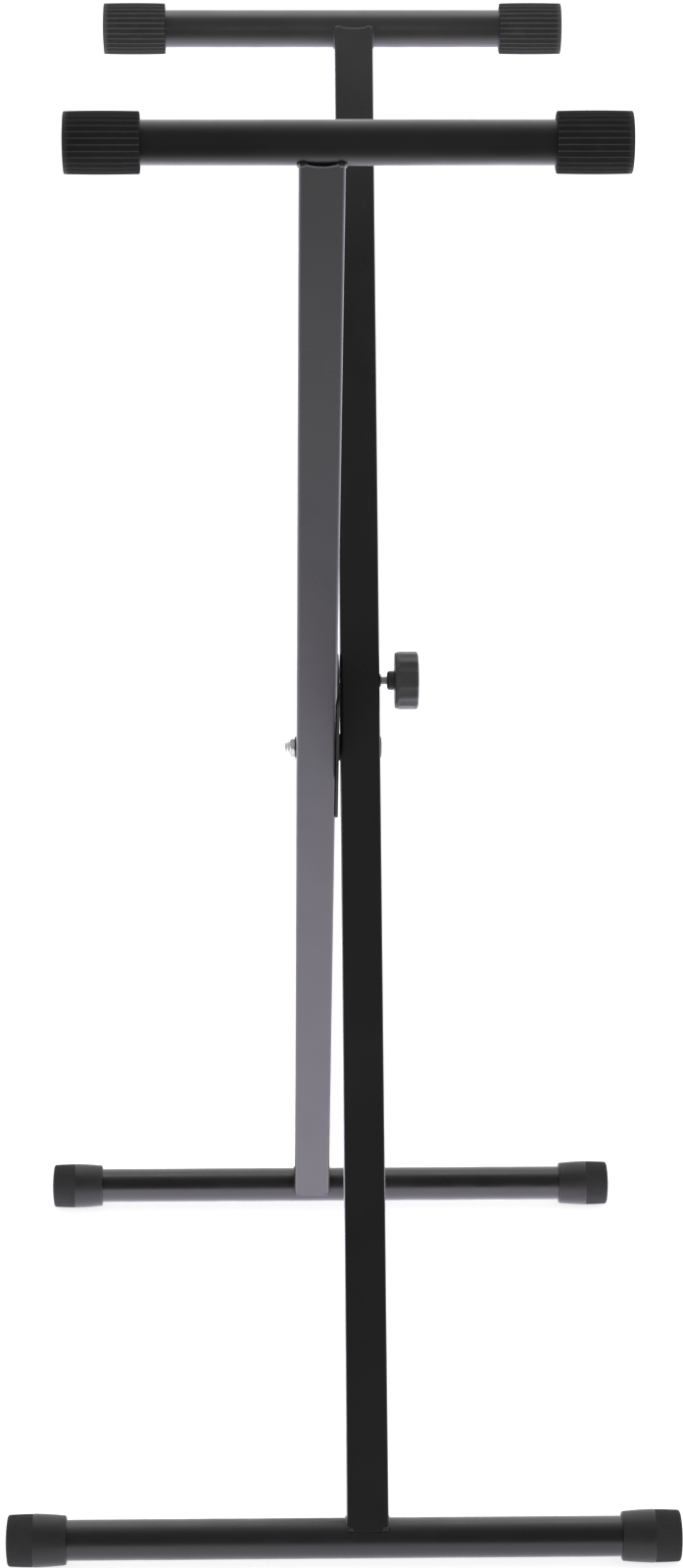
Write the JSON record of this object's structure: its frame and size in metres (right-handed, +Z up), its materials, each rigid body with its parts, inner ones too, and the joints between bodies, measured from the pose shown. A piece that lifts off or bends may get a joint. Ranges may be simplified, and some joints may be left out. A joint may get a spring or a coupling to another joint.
{
  "type": "keyboard stand",
  "caption": "Folding single-cross keyboard stand: square tube legs on a bolt pivot, round arms with ribbed grips, capped foot bars and a knob screw that locks the height.",
  "frame": {"origin": "on the floor under the pivot, midway between the foot bars", "axes": "+Z up, X across the cross from one foot bar to the other, Y along the arms and foot bars"},
  "size_m": [0.6252, 0.468, 0.9987],
  "materials": {
    "black_coat": "satin black powder coat",
    "coated_weld": "powder coated weld bead",
    "grip_rubber": "moulded matt black rubber, fluted",
    "cap_rubber": "moulded matt black rubber, ribbed",
    "zinc_steel": "bright zinc plate",
    "screw_steel": "zinc plated thread",
    "blackened_steel": "black oxide",
    "nylon": "black nylon",
    "knob_plastic": "moulded black plastic, fine grain"
  },
  "bodies": {
    "leg_a": {"leg_a_tube": "black_coat", "leg_a_upper_arm": "black_coat", "leg_a_foot_bar": "black_coat", "leg_a_upper_weld": "coated_weld", "leg_a_foot_weld": "coated_weld", "leg_a_grip_left": "grip_rubber", "leg_a_grip_right": "grip_rubber", "leg_a_foot_cap_left": "cap_rubber", "leg_a_foot_cap_right": "cap_rubber", "lock_plate": "black_coat", "lock_plate_weld": "coated_weld", "pivot_bolt": "blackened_steel", "pivot_nut": "zinc_steel", "pivot_washer": "zinc_steel", "pivot_spacer": "nylon", "leg_a_pivot_sleeve": "zinc_steel"},
    "leg_b": {"leg_b_tube": "black_coat", "leg_b_upper_arm": "black_coat", "leg_b_foot_bar": "black_coat", "leg_b_upper_weld": "coated_weld", "leg_b_foot_weld": "coated_weld", "leg_b_grip_left": "grip_rubber", "leg_b_grip_right": "grip_rubber", "leg_b_foot_cap_left": "cap_rubber", "leg_b_foot_cap_right": "cap_rubber", "leg_b_pivot_bush": "zinc_steel", "screw_insert": "screw_steel"},
    "lock_screw": {"lock_screw": "screw_steel"},
    "lock_knob": {"lock_knob": "knob_plastic"}
  },
  "joints": [
    {"name": "fold", "type": "hinge", "parent": "leg_a", "child": "leg_b", "pos_m": [0, 0, 0.49885], "axis": [0, -1, 0], "range_deg": [-58, 48]},
    {"name": "screw_travel", "type": "slide", "parent": "leg_b", "child": "lock_screw", "axis": [0, 1, 0], "range_m": [-0.00402, 0.00602]},
    {"name": "knob_turn", "type": "hinge", "parent": "lock_screw", "child": "lock_knob", "pos_m": [-0.02605, 0.047, 0.54153], "axis": [0, 1, 0], "range_deg": [-1440, 2160]}
  ],
  "couplings": [
    {"joint": "screw_travel", "follows": "knob_turn", "m_per_rad": 0.00015915}
  ]
}
